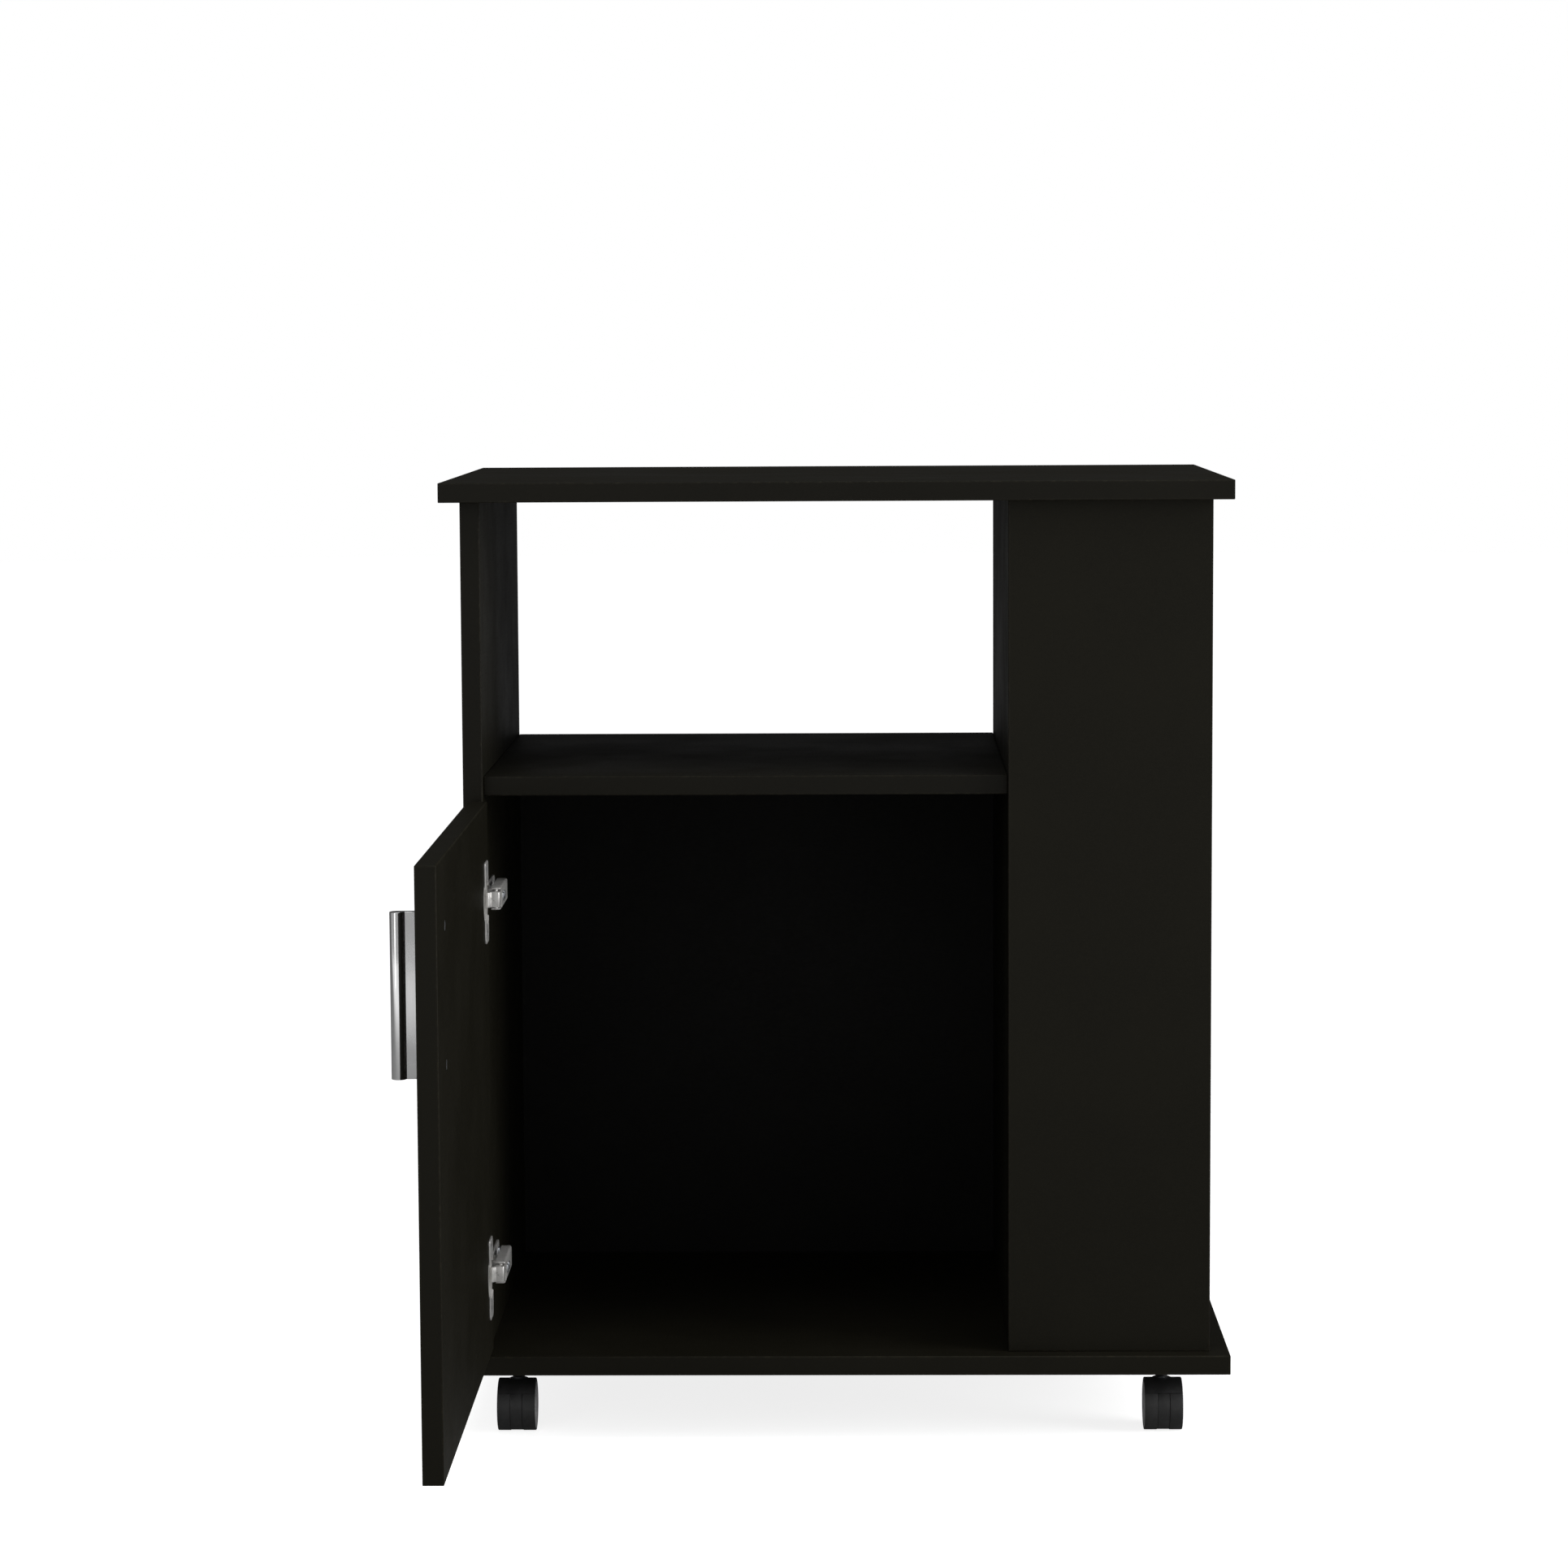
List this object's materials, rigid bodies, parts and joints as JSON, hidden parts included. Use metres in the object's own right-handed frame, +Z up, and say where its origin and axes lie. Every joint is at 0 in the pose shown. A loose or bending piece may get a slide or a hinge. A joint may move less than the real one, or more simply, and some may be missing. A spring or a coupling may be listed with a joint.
{
  "type": "kitchen cart",
  "caption": "Black board kitchen cart on twin-wheel casters, with an open upper niche, a hinged door with a bar handle and open side shelves.",
  "frame": {"origin": "under the middle of the bounding box at floor level, with the door open at a right angle", "axes": "+Z up, the front faces -Y, +X to the right of somebody facing the front"},
  "size_m": [0.6038, 0.797, 0.74],
  "materials": {
    "black_board": "matt black melamine on particle board",
    "back_board": "thin black hardboard",
    "handle_chrome": "polished",
    "nickel": "nickel-plated pressed steel",
    "zinc": "zinc-plated",
    "black_plastic": "moulded black nylon",
    "wheel_plastic": "moulded black nylon with a grey disc"
  },
  "bodies": {
    "carcass": {"top_panel": "black_board", "base_panel": "black_board", "left_side_panel": "black_board", "divider_panel": "black_board", "column_front_panel": "black_board", "column_back_panel": "black_board", "main_shelf": "black_board", "side_shelf_lower": "black_board", "side_shelf_middle": "black_board", "side_shelf_upper": "black_board", "back_panel": "back_board", "hinge_upper_arm": "nickel", "hinge_upper_plate": "nickel", "hinge_upper_plate_screw_front": "zinc", "hinge_upper_plate_screw_rear": "zinc", "hinge_lower_arm": "nickel", "hinge_lower_plate": "nickel", "hinge_lower_plate_screw_front": "zinc", "hinge_lower_plate_screw_rear": "zinc", "caster_front_left_socket": "black_plastic", "caster_front_left_stem": "zinc", "caster_front_right_socket": "black_plastic", "caster_front_right_stem": "zinc", "caster_rear_left_socket": "black_plastic", "caster_rear_left_stem": "zinc", "caster_rear_right_socket": "black_plastic", "caster_rear_right_stem": "zinc"},
    "door": {"door_panel": "black_board", "handle": "handle_chrome", "handle_screw_upper": "zinc", "handle_screw_lower": "zinc", "hinge_upper_cup": "nickel", "hinge_upper_cup_screw_top": "zinc", "hinge_upper_cup_screw_bottom": "zinc", "hinge_lower_cup": "nickel", "hinge_lower_cup_screw_top": "zinc", "hinge_lower_cup_screw_bottom": "zinc"},
    "hinge_links": {"hinge_upper_link": "nickel", "hinge_lower_link": "nickel"},
    "caster_front_left_swivel": {"caster_front_left_body": "black_plastic", "caster_front_left_axle": "zinc"},
    "caster_front_left_wheel_left": {"caster_front_left_wheel_left": "wheel_plastic"},
    "caster_front_left_wheel_right": {"caster_front_left_wheel_right": "wheel_plastic"},
    "caster_front_right_swivel": {"caster_front_right_body": "black_plastic", "caster_front_right_axle": "zinc"},
    "caster_front_right_wheel_left": {"caster_front_right_wheel_left": "wheel_plastic"},
    "caster_front_right_wheel_right": {"caster_front_right_wheel_right": "wheel_plastic"},
    "caster_rear_left_swivel": {"caster_rear_left_body": "black_plastic", "caster_rear_left_axle": "zinc"},
    "caster_rear_left_wheel_left": {"caster_rear_left_wheel_left": "wheel_plastic"},
    "caster_rear_left_wheel_right": {"caster_rear_left_wheel_right": "wheel_plastic"},
    "caster_rear_right_swivel": {"caster_rear_right_body": "black_plastic", "caster_rear_right_axle": "zinc"},
    "caster_rear_right_wheel_left": {"caster_rear_right_wheel_left": "wheel_plastic"},
    "caster_rear_right_wheel_right": {"caster_rear_right_wheel_right": "wheel_plastic"}
  },
  "joints": [
    {"name": "door_hinge", "type": "hinge", "parent": "carcass", "child": "door", "pos_m": [-0.27235, 0.00425, 0.28625], "axis": [0, 0, 1], "range_deg": [-5, 90]},
    {"name": "hinge_link_swing", "type": "hinge", "parent": "carcass", "child": "hinge_links", "pos_m": [-0.2581, 0.0055, 0.2793], "axis": [0, 0, 1], "range_deg": [-6, 108]},
    {"name": "caster_front_left_turn", "type": "hinge", "parent": "carcass", "child": "caster_front_left_swivel", "pos_m": [-0.2496, 0.0645, 0.0407], "axis": [0, 0, 1], "continuous": true},
    {"name": "caster_front_left_wheel_left_spin", "type": "hinge", "parent": "caster_front_left_swivel", "child": "caster_front_left_wheel_left", "pos_m": [-0.25875, 0.0505, 0.0195], "axis": [1, 0, 0], "continuous": true},
    {"name": "caster_front_left_wheel_right_spin", "type": "hinge", "parent": "caster_front_left_swivel", "child": "caster_front_left_wheel_right", "pos_m": [-0.24045, 0.0505, 0.0195], "axis": [1, 0, 0], "continuous": true},
    {"name": "caster_front_right_turn", "type": "hinge", "parent": "carcass", "child": "caster_front_right_swivel", "pos_m": [0.2534, 0.0645, 0.0407], "axis": [0, 0, 1], "continuous": true},
    {"name": "caster_front_right_wheel_left_spin", "type": "hinge", "parent": "caster_front_right_swivel", "child": "caster_front_right_wheel_left", "pos_m": [0.24425, 0.0505, 0.0195], "axis": [1, 0, 0], "continuous": true},
    {"name": "caster_front_right_wheel_right_spin", "type": "hinge", "parent": "caster_front_right_swivel", "child": "caster_front_right_wheel_right", "pos_m": [0.26255, 0.0505, 0.0195], "axis": [1, 0, 0], "continuous": true},
    {"name": "caster_rear_left_turn", "type": "hinge", "parent": "carcass", "child": "caster_rear_left_swivel", "pos_m": [-0.2496, 0.3325, 0.0407], "axis": [0, 0, 1], "continuous": true},
    {"name": "caster_rear_left_wheel_left_spin", "type": "hinge", "parent": "caster_rear_left_swivel", "child": "caster_rear_left_wheel_left", "pos_m": [-0.25875, 0.3185, 0.0195], "axis": [1, 0, 0], "continuous": true},
    {"name": "caster_rear_left_wheel_right_spin", "type": "hinge", "parent": "caster_rear_left_swivel", "child": "caster_rear_left_wheel_right", "pos_m": [-0.24045, 0.3185, 0.0195], "axis": [1, 0, 0], "continuous": true},
    {"name": "caster_rear_right_turn", "type": "hinge", "parent": "carcass", "child": "caster_rear_right_swivel", "pos_m": [0.2534, 0.3325, 0.0407], "axis": [0, 0, 1], "continuous": true},
    {"name": "caster_rear_right_wheel_left_spin", "type": "hinge", "parent": "caster_rear_right_swivel", "child": "caster_rear_right_wheel_left", "pos_m": [0.24425, 0.3185, 0.0195], "axis": [1, 0, 0], "continuous": true},
    {"name": "caster_rear_right_wheel_right_spin", "type": "hinge", "parent": "caster_rear_right_swivel", "child": "caster_rear_right_wheel_right", "pos_m": [0.26255, 0.3185, 0.0195], "axis": [1, 0, 0], "continuous": true}
  ],
  "couplings": [
    {"joint": "hinge_link_swing", "follows": "door_hinge", "ratio": 1.2}
  ]
}
